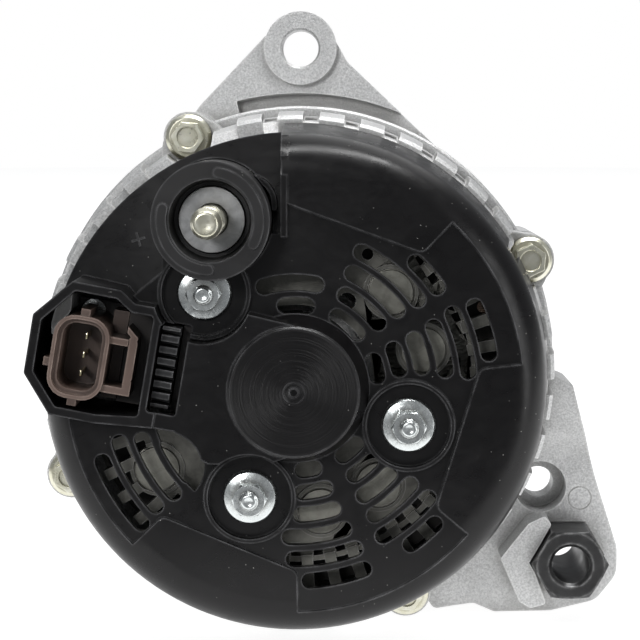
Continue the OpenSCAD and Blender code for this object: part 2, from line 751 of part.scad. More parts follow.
module bearing_balls(rp, rb, n, y1, y2) {
    mid = (y1 + y2) / 2;
    for (i = [0:n - 1]) at(360 / n * i, rp) translate([0, mid, 0]) sphere(rb, $fn = 32);
    tube(rp - 0.7, rp + 0.7, mid - 1.2, mid + 1.2);
}

rear_race = rear_bearing_y + 11;
module rear_bearing_outer() color(steel) machine()
    bearing_outer(10.2, 17.5, 12.5, 2.9, rear_bearing_y, rear_race - 0.4);
module rear_bearing_balls() color(steel) machine()
    bearing_balls(12.5, 2.9, 8, rear_bearing_y, rear_race - 0.4);
module rear_bearing_inner() color(steel) machine()
    bearing_inner(7.5, 10.2, 12.5, 2.9, rear_bearing_y, rear_race - 0.4);

module front_bearing_outer() color(steel) machine()
    bearing_outer(12.4, 23.5, 16, 4.1, front_bearing_y, front_bearing_end);
module front_bearing_balls() color(steel) machine()
    bearing_balls(16, 4.1, 7, front_bearing_y, front_bearing_end);
module front_bearing_inner() color(steel) machine()
    bearing_inner(8.5, 12.4, 16, 4.1, front_bearing_y, front_bearing_end);

module bearing_retainer() color(zinc) machine() difference() {
    union() {
        tube(19, 27, 82.2, 84);
        slab(82.2, 84) for (a = [45:90:315]) rotate(a) translate([28, 0]) circle(4.5);
    }
    for (a = [45:90:315]) at(a, 28) rod(2.1, 80, 86);
}

module retainer_screws() color(zinc) machine() for (a = [45:90:315]) at(a, 28) difference() {
    union() {
        rod(3.6, 80.4, 82.2);
        rod(2, 82.2, 90);
    }
    slab(80, 81.4) hexagon(3);
}

// ---------------------------------------------------------------- rotor

module rotor_shaft() color(steel) machine() {
    rod(4.4, -4, 26);
    rod(7.5, 26, 43.6);
    rod(8.5, 43.6, 127);
    rod(7.7, 127, 139);
    cone(7.7, 6.9, 139, 140);
}

// A pole wheel: a disc with tapering claws that reach over the field coil
module pole_wheel(y1, y2, tip, turned) difference() {
    knee = y2 + sign(tip - y2) * 0.7;
    union() {
        tube(8.5, 41, min(y1, y2 + sign(tip - y2) * 0.3), max(y1, y2 + sign(tip - y2) * 0.3));
        intersection() {
            tube(36, rotor_r, min(y1 + sign(tip - y1) * 0.4, tip), max(y1 + sign(tip - y1) * 0.4, tip));
            for (i = [0:claw_count - 1]) at(360 / claw_count * i + turned, 30) rotate([90, 0, 90])
                linear_extrude(24) polygon([[y1, -11.6], [y1, 11.6], [knee, 9.6], [tip, 3.4], [tip, -3.4],
                    [knee, -9.6]]);
        }
    }
    // The claws' inner faces slope, so that they clear the coil
    turn() polygon([[8, y2], [41.9, y2], [44, tip], [44, tip + (tip - y2)], [8, tip + (tip - y2)]]);
    // Balance holes
    for (i = [0:claw_count - 1]) at(360 / claw_count * (i + 0.5) + turned, 32)
        rod(2.4, min(y1, y1 + sign(tip - y1) * 2.5) - 0.5, max(y1, y1 + sign(tip - y1) * 2.5) + 0.5);
}

module rear_pole_wheel() color(steel) machine() pole_wheel(core_y + 0.6, core_y + 9, core_end - 3, 0);
module front_pole_wheel() color(steel) machine()
    pole_wheel(core_end - 0.6, core_end - 9, core_y + 3, 180 / claw_count);

module coil_bobbin() color([0.85, 0.82, 0.72]) machine() {
    tube(8.5, 25, core_y + 9, core_end - 9);
    tube(25, 40.4, core_y + 9, core_y + 10.2);
    tube(25, 40.4, core_end - 10.2, core_end - 9);
}

module field_coil() color(copper) machine() tube(25, 39.2, core_y + 10.2, core_end - 10.2);

// A sheet steel fan: a disc with curved blades bent up at its edge
module fan(y_disc, y_blade, count, r1, r2, way) {
    tube(9.2, r1 + 5, min(y_disc, y_disc + way * 1.2), max(y_disc, y_disc + way * 1.2));
    slab(min(y_disc, y_disc + way * 1.2), max(y_disc, y_disc + way * 1.2))
        for (i = [0:count - 1]) rotate(360 / count * i) sector(r1 - 4, r2, -6, 9);
    slab(min(y_disc, y_blade), max(y_disc, y_blade)) for (i = [0:count - 1]) rotate(360 / count * i)
        intersection() {
            translate([r1 + 5, -14]) difference() {
                circle(20);
                circle(18.8);
            }
            sector(r1, r2, -12, 30);
        }
}

module rear_fan() color(steel) machine() difference() {
    fan(core_y + 0.6, 37, 11, 27, 49, -1);
    rod(24.5, 30, 44.4);
}
module front_fan() color(steel) machine() fan(core_end - 0.6, 86.4, 12, 35, 49, 1);

module slip_ring_insulator() color([0.3, 0.12, 0.08]) machine() {
    tube(4.4, 6.2, -3.4, 16);
    for (y = [-3.4, 4.6, 13.8]) tube(6.1, 6.9, y, y + 0.9 + (y > 4 && y < 5 ? 0.9 : 0));
}

module slip_rings() color([0.8, 0.5, 0.3]) machine() for (y = [-2.5, 6.4]) tube(6.2, 7.2, y, y + 7.1);

module shaft_spacer() color(steel) machine() tube(8.5, 12.2, front_bearing_end, pulley_y);

// ---------------------------------------------------------------- pulley

rib_field = rib_count * rib_pitch;
flange_w = 2.2;
rib_depth = 3;

module groove() polygon([[flange_r - 2, -rib_pitch / 2 + 0.35], [flange_r - 2, rib_pitch / 2 - 0.35],
    [flange_r - 2 - rib_depth, 0.35], [flange_r - 2 - rib_depth, -0.35]]);

module pulley() color([0.25, 0.25, 0.26]) machine() {
    y1 = belt_depth - rib_field / 2;
    y2 = belt_depth + rib_field / 2;
    rim = flange_r - 2 - rib_depth - 2.4;
    turn() difference() {
        polygon([[8.5, pulley_y], [13, pulley_y], [13, y1 - 1], [rim, y1 + 1], [rim, y1 - flange_w],
            [flange_r, y1 - flange_w], [flange_r, y1], [flange_r - 2.2, y1 + 0.5],
            [flange_r - 2, y1 + 0.5], [flange_r - 2, y2 - 0.5], [flange_r - 2.2, y2 - 0.5],
            [flange_r, y2], [flange_r, y2 + flange_w], [rim, y2 + flange_w], [rim, y2 - 3],
            [13, y2 - 3], [13, y2 - 1], [8.5, y2 - 1]]);
        for (i = [0:rib_count - 1]) translate([0, y1 + rib_pitch * (i + 0.5)]) groove();
    }
}

module pulley_nut() color(zinc) machine() difference() {
    y = belt_depth + rib_field / 2 - 1;
    union() {
        intersection() {
            slab(y, y + 9.4) hexagon(22);
            cone(15.4, 11, y, y + 9.4);
        }
        rod(12.6, y, y + 1.6);
    }
    rod(7.7, 120, 140);
    cone(8.6, 7.7, y - 0.01, y + 0.9);
}

// ---------------------------------------------------------------- foot bush

module foot_bush() color([0.16, 0.16, 0.17]) machine() place(foot_at) difference() {
    union() {
        intersection() {
            slab(40, 54.2) hexagon(bush_af);
            cone(9.6, 12.6, 40, 43);
        }
        intersection() {
            slab(43, 54.2) hexagon(bush_af);
            rod(12, 42.9, 54.2);
        }
        rod(8.25, 54.2, 75.4);
    }
    rod(bush_hole_r, 38, 77);
    cone(6.4, bush_hole_r, 39.9, 41.1);
}

rear_cover();
cover_studs();
cover_nuts();
b_terminal_insulator();
b_terminal_stud();
b_terminal_washer();
regulator_body();
regulator_heatsink();
connector_housing();
connector_pins();
brush_holder();
brush_positive();
brush_negative();
brush_spring_positive();
brush_spring_negative();
regulator_screws();
rectifier_positive_plate();
rectifier_negative_plate();
positive_diodes();
negative_diodes();
rectifier_terminal_block();
phase_leads();
rear_housing();
front_housing();
through_bolts();
stator_core();
stator_winding_rear();
stator_winding_front();
slot_conductors();
rear_bearing_outer();
rear_bearing_balls();
rear_bearing_inner();
front_bearing_outer();
front_bearing_balls();
front_bearing_inner();
bearing_retainer();
retainer_screws();
rotor_shaft();
rear_pole_wheel();
front_pole_wheel();
field_coil();
coil_bobbin();
rear_fan();
front_fan();
slip_ring_insulator();
slip_rings();
shaft_spacer();
pulley();
pulley_nut();
foot_bush();
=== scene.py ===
"""A car alternator seen from its slotted rear cover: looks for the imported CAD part.

Depths (y) are written in millimetres from the cover's slotted face, as in the part's
source, and mm() turns a point into the frame's metres.
"""

import math
import random

import bmesh
import bpy
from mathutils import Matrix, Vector


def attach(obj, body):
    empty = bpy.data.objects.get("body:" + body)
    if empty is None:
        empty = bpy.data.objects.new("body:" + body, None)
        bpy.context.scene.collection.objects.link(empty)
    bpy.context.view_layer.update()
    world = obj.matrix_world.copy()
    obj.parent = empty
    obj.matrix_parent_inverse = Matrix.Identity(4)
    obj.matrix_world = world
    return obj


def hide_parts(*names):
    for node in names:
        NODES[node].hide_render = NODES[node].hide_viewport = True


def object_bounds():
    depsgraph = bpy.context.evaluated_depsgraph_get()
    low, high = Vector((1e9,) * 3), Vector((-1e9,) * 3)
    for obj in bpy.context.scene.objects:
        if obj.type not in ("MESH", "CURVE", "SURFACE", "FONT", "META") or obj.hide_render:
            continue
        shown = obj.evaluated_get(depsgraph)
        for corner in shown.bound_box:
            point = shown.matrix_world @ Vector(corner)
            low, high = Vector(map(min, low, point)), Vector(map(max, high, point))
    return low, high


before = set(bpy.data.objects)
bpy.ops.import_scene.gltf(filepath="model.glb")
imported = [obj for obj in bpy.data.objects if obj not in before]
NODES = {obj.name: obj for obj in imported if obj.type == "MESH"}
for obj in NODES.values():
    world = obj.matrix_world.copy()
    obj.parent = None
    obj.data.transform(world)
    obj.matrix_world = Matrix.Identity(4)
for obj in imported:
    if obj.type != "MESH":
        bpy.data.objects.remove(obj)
CAD_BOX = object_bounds()
SCENE = bpy.context.scene
BELT_DEPTH = 118.0
random.seed(7)


def mm(x, y, z):
    """A point in millimetres, with its depth from the slotted face, in the frame's metres."""
    return Vector((x * 0.001, (y - BELT_DEPTH) * 0.001, z * 0.001))


# ------------------------------------------------------------------ camera

CAMERA_PLACE = (0.01298, -0.5884, 0.06695)
CAMERA_TILT, CAMERA_PAN = math.radians(84.034), math.radians(0.78)

camera_data = bpy.data.cameras.new("camera")
camera_data.lens = 103.33
camera_data.sensor_width = 36.0
camera_data.clip_start = 0.01
camera_data.clip_end = 20.0
camera = bpy.data.objects.new("camera", camera_data)
camera.location = CAMERA_PLACE
camera.rotation_euler = (CAMERA_TILT, 0.0, CAMERA_PAN)
SCENE.collection.objects.link(camera)
SCENE.camera = camera

# ------------------------------------------------------------------ materials


class Shader:
    """A material under construction. Sizes of patterns are in features per metre."""

    def __init__(self, name):
        self.material = bpy.data.materials.new(name)
        self.material.use_nodes = True
        self.tree = self.material.node_tree
        self.tree.nodes.clear()
        output = self.tree.nodes.new("ShaderNodeOutputMaterial")
        self.bsdf = self.tree.nodes.new("ShaderNodeBsdfPrincipled")
        self.tree.links.new(self.bsdf.outputs[0], output.inputs["Surface"])
        self.place = self.tree.nodes.new("ShaderNodeTexCoord").outputs["Object"]
        self.normal = None

    def add(self, kind, inputs=(), **settings):
        node = self.tree.nodes.new("ShaderNode" + kind)
        for key, value in settings.items():
            setattr(node, key, value)
        for key, value in dict(inputs).items():
            self.put(node.inputs[key], value)
        return node

    def put(self, socket, value):
        if isinstance(value, bpy.types.NodeSocket):
            self.tree.links.new(value, socket)
        elif isinstance(value, tuple) and len(value) == 3 and socket.type == "RGBA":
            socket.default_value = (*value, 1.0)
        else:
            socket.default_value = value

    def noise(self, scale, detail=3.0, roughness=0.55, distortion=0.0, place=None):
        node = self.add("TexNoise", {"Vector": place or self.place, "Scale": scale, "Detail": detail,
                                     "Roughness": roughness, "Distortion": distortion})
        return node.outputs[0]

    def cells(self, scale, feature="F1", place=None):
        node = self.add("TexVoronoi", {"Vector": place or self.place, "Scale": scale},
                        feature=feature)
        return node.outputs["Distance"]

    def span(self, value, low, high, to_low=0.0, to_high=1.0):
        """Maps a value from one range to another, clamped."""
        node = self.add("MapRange", {"Value": value, "From Min": low, "From Max": high,
                                     "To Min": to_low, "To Max": to_high}, clamp=True)
        return node.outputs[0]

    def sum(self, a, b, operation="ADD"):
        node = self.add("Math", operation=operation)
        self.put(node.inputs[0], a)
        self.put(node.inputs[1], b)
        return node.outputs[0]

    def blend(self, share, a, b):
        node = self.add("Mix", data_type="RGBA")
        self.put(node.inputs[0], share)
        self.put(node.inputs[6], a)
        self.put(node.inputs[7], b)
        return node.outputs[2]

    def bump(self, height, strength, distance):
        """Adds a relief of that height in metres to what is there already."""
        node = self.add("Bump", {"Height": height, "Strength": strength, "Distance": distance})
        if self.normal is not None:
            self.put(node.inputs["Normal"], self.normal)
        self.normal = node.outputs[0]
        self.put(self.bsdf.inputs["Normal"], self.normal)

    def edges(self, radius, low=0.02, high=0.25):
        """1 along convex and concave edges, 0 on flats, over a width of about radius."""
        rounded = self.add("Bevel", {"Radius": radius}, samples=4).outputs[0]
        flat = self.add("NewGeometry").outputs["Normal"]
        dot = self.add("VectorMath", operation="DOT_PRODUCT")
        self.put(dot.inputs[0], rounded)
        self.put(dot.inputs[1], flat)
        return self.span(dot.outputs["Value"], 1.0 - low, 1.0 - high)

    def recess(self, distance, low=0.35, high=1.0):
        """1 where the surface is open, 0 deep in corners: an ambient-occlusion mask that the finishes
        use to paint shade into corners.
        """
        node = self.add("AmbientOcclusion", {"Distance": distance}, samples=4)
        return self.span(node.outputs["AO"], low, high)

    def stretched(self, x, y, z):
        node = self.add("Mapping", {"Vector": self.place, "Scale": (x, y, z)})
        return node.outputs[0]

    def set(self, **values):
        for key, value in values.items():
            self.put(self.bsdf.inputs[key.replace("_", " ")], value)

    def done(self):
        return self.material


def turned_marks(s, radius, near, far):
    """Fine concentric marks about the shaft, on a disc whose depth lies between near and far."""
    across = s.stretched(1.0, 0.0, 1.0)
    flat = s.add("VectorMath", {0: across}, operation="LENGTH").outputs["Value"]
    depth = s.add("SeparateXYZ", {"Vector": s.place}).outputs["Y"]
    inside = s.span(flat, radius, radius - 0.0006)
    on_top = s.span(depth, mm(0, far, 0).y, mm(0, near, 0).y)
    mask = s.sum(inside, on_top, "MULTIPLY")
    ring = s.add("CombineXYZ", {"X": flat}).outputs[0]
    s.bump(s.sum(s.noise(1700.0, 2.0, 0.6, 0.0, ring), mask, "MULTIPLY"), 1.0, 0.00012)
    along = s.add("VectorMath", {0: across, 1: (0.0, 1.0, 0.0)}, operation="CROSS_PRODUCT")
    s.set(Tangent=along.outputs["Vector"], Anisotropic=s.sum(mask, 0.9, "MULTIPLY"))
    return mask


def moulded(name, dark, light, rough, grain=0.05, dust=0.0, edge=(0.15, 0.15, 0.155), specular=0.5,
            turned=None):
    """Satin moulded plastic with a fine eroded grain, smudges and dust specks; its edges are lightened,
    partly as rubbing and partly as a painted highlight, and its corners carry painted shade.
    """
    s = Shader(name)
    cloud = s.noise(38.0, 4.0, 0.6)
    colour = s.blend(s.span(cloud, 0.35, 0.7), dark, light)
    smudge = s.noise(95.0, 5.0, 0.65, 1.2, s.stretched(1.0, 0.6, 1.7))
    # Painted highlight, partly rubbing: edges are lightened towards the edge colour, broken up by
    # noise.
    edge_wear_and_highlight = s.edges(0.0008, 0.01, 0.11)
    worn = s.sum(edge_wear_and_highlight, s.span(s.noise(200.0, 3.0), 0.35, 0.65, 0.25, 1.0), "MULTIPLY")
    colour = s.blend(s.sum(worn, 0.9, "MULTIPLY"), colour, edge)
    if dust:
        speck = s.span(s.cells(430.0), 0.07, 0.035)
        patch = s.span(s.noise(70.0, 2.0), 0.42, 0.56)
        specks = s.sum(s.sum(speck, patch, "MULTIPLY"), dust, "MULTIPLY")
        colour = s.blend(specks, colour, (0.45, 0.44, 0.42))
    # Painted shade: corners and recesses are darkened by ambient occlusion towards a third of the dark
    # tone.
    colour = s.blend(s.recess(0.008, 0.15, 0.75), tuple(c * 0.3 for c in dark), colour)
    film = s.span(s.noise(24.0, 6.0, 0.7, 0.8), 0.5, 0.8, 0.0, 0.14)
    roughness = s.sum(s.span(smudge, 0.3, 0.72, rough - 0.06, rough + 0.09), film, "ADD")
    s.bump(s.noise(2600.0, 2.0, 0.6), grain * 2.0, 0.00006)
    s.bump(s.noise(620.0, 3.0, 0.5), 0.10, 0.00005)
    scratch = s.cells(75.0, "DISTANCE_TO_EDGE", s.stretched(1.0, 0.4, 0.16))
    s.bump(s.span(scratch, 0.0, 0.012), 0.06, 0.00004)
    if turned:
        roughness = s.sum(roughness, s.sum(turned_marks(s, *turned), 0.1, "MULTIPLY"))
    s.set(Base_Color=colour, Roughness=roughness)
    s.bsdf.inputs["Specular IOR Level"].default_value = specular
    return s.done()


def cast(name, low, high, sand=0.35, metallic=0.75):
    """Sand-textured die-cast aluminium: fine sparkle and pores, with painted shade in corners and
    painted highlights along edges.
    """
    s = Shader(name)
    blotch = s.noise(60.0, 5.0, 0.6)
    fine = s.noise(1900.0, 3.0, 0.7)
    colour = s.blend(s.span(blotch, 0.3, 0.7), low, high)
    colour = s.blend(s.span(fine, 0.5, 0.66, 0.0, 0.45), colour, (0.98, 0.98, 0.97))
    colour = s.blend(s.span(fine, 0.5, 0.34, 0.0, 0.4), colour, (0.24, 0.24, 0.238))
    pores = s.span(s.cells(900.0), 0.16, 0.05)
    rare = s.span(s.noise(240.0, 2.0), 0.52, 0.62)
    pitted = s.sum(s.sum(pores, rare, "MULTIPLY"), 0.6, "MULTIPLY")
    colour = s.blend(pitted, colour, (0.16, 0.16, 0.155))
    # Painted shade: corners and recesses are darkened by ambient occlusion.
    colour = s.blend(s.recess(0.006, 0.25, 0.85), (0.28, 0.275, 0.265), colour)
    # Painted highlight: edges are lightened towards near white.
    painted_edge_highlight = s.sum(s.edges(0.0009, 0.006, 0.12), 0.5, "MULTIPLY")
    colour = s.blend(painted_edge_highlight, colour, (0.96, 0.96, 0.95))
    s.bump(s.noise(1600.0, 4.0, 0.7), sand, 0.00024)
    s.bump(s.noise(210.0, 3.0, 0.5), 0.2, 0.0003)
    s.bump(pores, -0.25, 0.0001)
    s.set(Base_Color=colour, Roughness=s.span(fine, 0.3, 0.7, 0.36, 0.56))
    s.bsdf.inputs["Metallic"].default_value = metallic
    return s.done()


def plated(name, low, high, rough, brushed=0.0, streak=(1.0, 1.0, 1.0), metallic=1.0,
           corner_shade=(0.3, 0.29, 0.26)):
    """Plated or machined metal: cloudy tint, fine scratches, bright rubbed edges, and painted shade in
    corners.
    """
    s = Shader(name)
    cloud = s.noise(330.0, 4.0, 0.6, 0.6)
    colour = s.blend(s.span(cloud, 0.32, 0.68), low, high)
    # Painted shade: corners and recesses are darkened by ambient occlusion towards this colour.
    colour = s.blend(s.recess(0.003, 0.3, 0.9), corner_shade, colour)
    colour = s.blend(s.sum(s.edges(0.0003), 0.5, "MULTIPLY"), colour, (0.95, 0.95, 0.94))
    line = s.noise(900.0, 2.0, 0.5, 0.0, s.stretched(*streak))
    s.bump(line, 0.02 + brushed, 0.00006)
    s.bump(s.noise(1700.0, 2.0), 0.03, 0.00004)
    worn = s.sum(cloud, line, "MULTIPLY")
    s.set(Base_Color=colour, Roughness=s.span(worn, 0.15, 0.4, rough - 0.03, rough + 0.06))
    s.bsdf.inputs["Metallic"].default_value = metallic
    return s.done()


def enamelled(name, low, high):
    """Enamelled copper wire with varnish that has run and pooled."""
    s = Shader(name)
    tone = s.noise(160.0, 4.0, 0.6)
    colour = s.blend(s.span(tone, 0.3, 0.7), low, high)
    varnish = s.span(s.noise(420.0, 3.0, 0.6, 1.0), 0.5, 0.7)
    colour = s.blend(s.sum(varnish, 0.45, "MULTIPLY"), colour, (0.20, 0.085, 0.03))
    s.bump(s.noise(1300.0, 2.0), 0.1, 0.0001)
    s.set(Base_Color=colour, Roughness=s.span(varnish, 0.0, 1.0, 0.22, 0.4))
    s.bsdf.inputs["Metallic"].default_value = 0.85
    s.bsdf.inputs["Coat Weight"].default_value = 0.5
    s.bsdf.inputs["Coat Roughness"].default_value = 0.15
    return s.done()


SHEETS_PER_METRE = 1000.0


def laminated(name):
    """Stacked steel laminations: fine lines across the shaft's direction and a little rust."""
    s = Shader(name)
    split = s.add("SeparateXYZ", {"Vector": s.place}).outputs["Y"]
    sheet = s.add("Math", operation="SINE")
    s.put(sheet.inputs[0], s.sum(split, 2.0 * SHEETS_PER_METRE * math.pi, "MULTIPLY"))
    line = s.span(sheet.outputs[0], -1.0, -0.6)
    rust = s.span(s.noise(130.0, 5.0, 0.65), 0.55, 0.72)
    colour = s.blend(s.sum(rust, 0.5, "MULTIPLY"), (0.23, 0.235, 0.245), (0.16, 0.075, 0.04))
    colour = s.blend(line, (0.07, 0.07, 0.075), colour)
    s.bump(line, 0.5, 0.00015)
    s.bump(s.noise(900.0, 3.0), 0.15, 0.0001)
    s.set(Base_Color=colour, Roughness=s.span(rust, 0.0, 1.0, 0.38, 0.75))
    s.bsdf.inputs["Metallic"].default_value = 0.8
    return s.done()


def baked(name, low, high, rough, metallic=0.0):
    """Dull pressed material: carbon, phosphated or painted steel."""
    s = Shader(name)
    cloud = s.noise(140.0, 5.0, 0.65)
    colour = s.blend(s.span(cloud, 0.3, 0.7), low, high)
    rub = s.span(s.noise(420.0, 4.0, 0.65), 0.36, 0.6)
    worn = s.sum(s.edges(0.0012, 0.004, 0.1), rub, "MULTIPLY")
    colour = s.blend(s.sum(worn, 0.85, "MULTIPLY"), colour, (0.42, 0.42, 0.42))
    s.bump(s.noise(1400.0, 3.0, 0.6), 0.22, 0.00012)
    s.bump(s.noise(260.0, 3.0), 0.12, 0.0002)
    s.set(Base_Color=colour, Roughness=s.span(cloud, 0.3, 0.7, rough - 0.06, rough + 0.1))
    s.bsdf.inputs["Metallic"].default_value = metallic
    return s.done()


# The hub's turned disc: its radius in metres, and the depths its marks fade in between
HUB_DISC = (0.0166, -8.2, -7.4)

M = {
    "black_plastic": moulded("black_plastic", (0.0035, 0.0032, 0.0036), (0.0065, 0.0060, 0.0066),
                             0.30, dust=0.75, specular=0.34, turned=HUB_DISC),
    "terminal_plastic": moulded("terminal_plastic", (0.012, 0.0115, 0.0122),
                                (0.018, 0.0175, 0.0185), 0.42, 0.08, 0.6),
    "brown_plastic": moulded("brown_plastic", (0.115, 0.078, 0.064), (0.170, 0.120, 0.100), 0.36,
                             0.06, 0.0, (0.36, 0.28, 0.24)),
    "regulator_plastic": moulded("regulator_plastic", (0.020, 0.0145, 0.0125),
                                 (0.034, 0.025, 0.0215), 0.4, 0.06, 0.0, (0.10, 0.08, 0.07)),
    "block_plastic": moulded("block_plastic", (0.020, 0.018, 0.016), (0.033, 0.03, 0.027), 0.5,
                             0.06),
    "bobbin_plastic": moulded("bobbin_plastic", (0.52, 0.47, 0.36), (0.63, 0.58, 0.46), 0.45, 0.06,
                              0.0, (0.7, 0.66, 0.55)),
    "cast_aluminium": cast("cast_aluminium", (0.56, 0.563, 0.563), (0.70, 0.702, 0.702), 0.6, 0.65),
    # Painted highlight: the near-black heatsink gets light edges as outlines.
    "dark_aluminium": moulded("dark_aluminium", (0.022, 0.022, 0.023), (0.04, 0.04, 0.042), 0.35,
                              0.2, 0.0, (0.42, 0.42, 0.43)),
    "zinc_steel": plated("zinc_steel", (0.74, 0.78, 0.78), (0.87, 0.91, 0.91), 0.26),
    "washer_steel": plated("washer_steel", (0.32, 0.325, 0.33), (0.50, 0.505, 0.51), 0.42, 0.6),
    "chromate_steel": plated("chromate_steel", (0.74, 0.72, 0.56), (0.88, 0.87, 0.76), 0.3, 0.0,
                             (1, 1, 1), 0.9, (0.36, 0.34, 0.24)),
    "bearing_steel": plated("bearing_steel", (0.55, 0.56, 0.57), (0.68, 0.69, 0.70), 0.22),
    # Painted shade: the rectifier plates and diodes are darker than their bare metal, standing in for
    # the cover's shade over them.
    "plate_aluminium": plated("plate_aluminium", (0.15, 0.148, 0.135), (0.24, 0.237, 0.215), 0.46,
                              0.3, (1, 6, 1), 0.9),
    "diode_metal": plated("diode_metal", (0.27, 0.265, 0.235), (0.40, 0.395, 0.35), 0.44, 0.35,
                          (1, 1, 1), 0.9),
    "pole_steel": plated("pole_steel", (0.30, 0.31, 0.33), (0.42, 0.43, 0.45), 0.36, 0.08,
                         (1, 5, 1), 1.0, (0.12, 0.09, 0.07)),
    "shaft_steel": plated("shaft_steel", (0.56, 0.57, 0.58), (0.68, 0.69, 0.70), 0.22, 0.15,
                          (0.3, 8, 0.3)),
    "fan_steel": plated("fan_steel", (0.50, 0.51, 0.52), (0.66, 0.67, 0.68), 0.33, 0.04),
    "pulley_steel": plated("pulley_steel", (0.075, 0.077, 0.082), (0.12, 0.122, 0.128), 0.32, 0.1,
                           (1, 10, 1), 0.9, (0.02, 0.02, 0.02)),
    "tin_brass": plated("tin_brass", (0.86, 0.76, 0.42), (0.93, 0.88, 0.66), 0.2),
    "slip_copper": plated("slip_copper", (0.70, 0.36, 0.20), (0.82, 0.48, 0.30), 0.24, 0.2,
                          (1, 12, 1)),
    "copper": enamelled("copper", (0.42, 0.16, 0.06), (0.62, 0.27, 0.11)),
    "lead_copper": enamelled("lead_copper", (0.13, 0.09, 0.07), (0.22, 0.16, 0.12)),
    "lamination": laminated("lamination"),
    "carbon": baked("carbon", (0.018, 0.018, 0.02), (0.03, 0.03, 0.033), 0.5, 0.2),
    "black_steel": baked("black_steel", (0.022, 0.022, 0.0225), (0.05, 0.05, 0.051), 0.34, 0.7),
    "insulator": moulded("insulator", (0.10, 0.028, 0.018), (0.15, 0.045, 0.03), 0.4),
}

FINISH = {
    "black_plastic": ["rear_cover"],
    "terminal_plastic": ["b_terminal_insulator"],
    "block_plastic": ["brush_holder", "rectifier_terminal_block"],
    "regulator_plastic": ["regulator_body"],
    "dark_aluminium": ["regulator_heatsink"],
    "brown_plastic": ["connector_housing"],
    "tin_brass": ["connector_pins"],
    "zinc_steel": ["cover_nuts", "regulator_screws", "bearing_retainer", "retainer_screws",
                   "pulley_nut"],
    "washer_steel": ["b_terminal_washer"],
    "chromate_steel": ["through_bolts", "b_terminal_stud", "cover_studs"],
    "bearing_steel": ["rear_bearing_outer", "rear_bearing_balls", "rear_bearing_inner",
                      "front_bearing_outer", "front_bearing_balls", "front_bearing_inner",
                      "brush_spring_positive", "brush_spring_negative"],
    "carbon": ["brush_positive", "brush_negative"],
    "plate_aluminium": ["rectifier_positive_plate", "rectifier_negative_plate"],
    "diode_metal": ["positive_diodes", "negative_diodes"],
    "cast_aluminium": ["rear_housing", "front_housing"],
    "lamination": ["stator_core"],
    "copper": ["stator_winding_rear", "stator_winding_front", "slot_conductors", "field_coil"],
    "lead_copper": ["phase_leads"],
    "shaft_steel": ["rotor_shaft", "shaft_spacer"],
    "pole_steel": ["rear_pole_wheel", "front_pole_wheel"],
    "bobbin_plastic": ["coil_bobbin"],
    "fan_steel": ["rear_fan", "front_fan"],
    "insulator": ["slip_ring_insulator"],
    "slip_copper": ["slip_rings"],
    "pulley_steel": ["pulley"],
    "black_steel": ["foot_bush"],
}
for finish, names in FINISH.items():
    for name in names:
        mesh = NODES[name].data
        mesh.materials.clear()
        mesh.materials.append(M[finish])

# Edges of the CAD parts are eased by a bevel; its width in millimetres
EASED = {
    "rear_cover": 0.3, "b_terminal_insulator": 0.5, "connector_housing": 0.35, "rear_housing": 0.5,
    "front_housing": 0.8, "foot_bush": 0.35, "b_terminal_washer": 0.25, "through_bolts": 0.25,
    "cover_nuts": 0.2, "regulator_body": 0.3, "regulator_heatsink": 0.2, "brush_holder": 0.3,
    "rectifier_positive_plate": 0.15, "rectifier_negative_plate": 0.15, "rectifier_terminal_block": 0.2,
    "positive_diodes": 0.15, "negative_diodes": 0.15, "pulley": 0.2, "pulley_nut": 0.3, "rear_fan": 0.2,
    "front_fan": 0.2, "rear_pole_wheel": 0.5, "front_pole_wheel": 0.5, "stator_core": 0.2,
    "bearing_retainer": 0.2, "retainer_screws": 0.2, "connector_pins": 0.15,
}


SHARP_ANGLE = math.radians(30.0)
FLAT_ANGLE = math.radians(0.3)


def ease(obj, width):
    """Welds the mesh's split edges, drops edges inside flats and rounds the sharp ones."""
    weld = obj.modifiers.new("weld", "WELD")
    weld.merge_threshold = 0.000002
    flats = obj.modifiers.new("flats", "DECIMATE")
    flats.decimate_type = "DISSOLVE"
    flats.angle_limit = FLAT_ANGLE
    bevel = obj.modifiers.new("bevel", "BEVEL")
    bevel.width = width * 0.001
    bevel.segments = 2
    bevel.limit_method = "ANGLE"
    bevel.angle_limit = SHARP_ANGLE
    bevel.harden_normals = False
    bevel.miter_outer = "MITER_ARC"
    bevel.loop_slide = False
    for polygon in obj.data.polygons:
        polygon.use_smooth = True
    normals = obj.modifiers.new("normals", "WEIGHTED_NORMAL")
    normals.keep_sharp = True
    normals.weight = 80


for name, width in EASED.items():
    ease(NODES[name], width)

# ------------------------------------------------------------------ new pieces


def piece(name, mesh_maker, finish, body, *replaced, smooth=True):
    """Makes a mesh piece in the frame's metres, gives it a finish and lets it ride on a body."""
    bm = bmesh.new()
    mesh_maker(bm)
    bmesh.ops.recalc_face_normals(bm, faces=bm.faces)
    mesh = bpy.data.meshes.new(name)
    bm.to_mesh(mesh)
    bm.free()
    for polygon in mesh.polygons:
        polygon.use_smooth = smooth
    mesh.materials.append(M[finish])
    obj = bpy.data.objects.new(name, mesh)
    SCENE.collection.objects.link(obj)
    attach(obj, body)
    if replaced:
        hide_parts(*replaced)
    return obj


def loft(bm, rings):
    """Joins rings of as many corners each into a closed skin, with a cap at both ends."""
    count = len(rings[0])
    for a, b in zip(rings, rings[1:]):
        for k in range(count):
            bm.faces.new((a[k], a[(k + 1) % count], b[(k + 1) % count], b[k]))
    for ring in (rings[0], rings[-1]):
        bm.faces.new(ring)


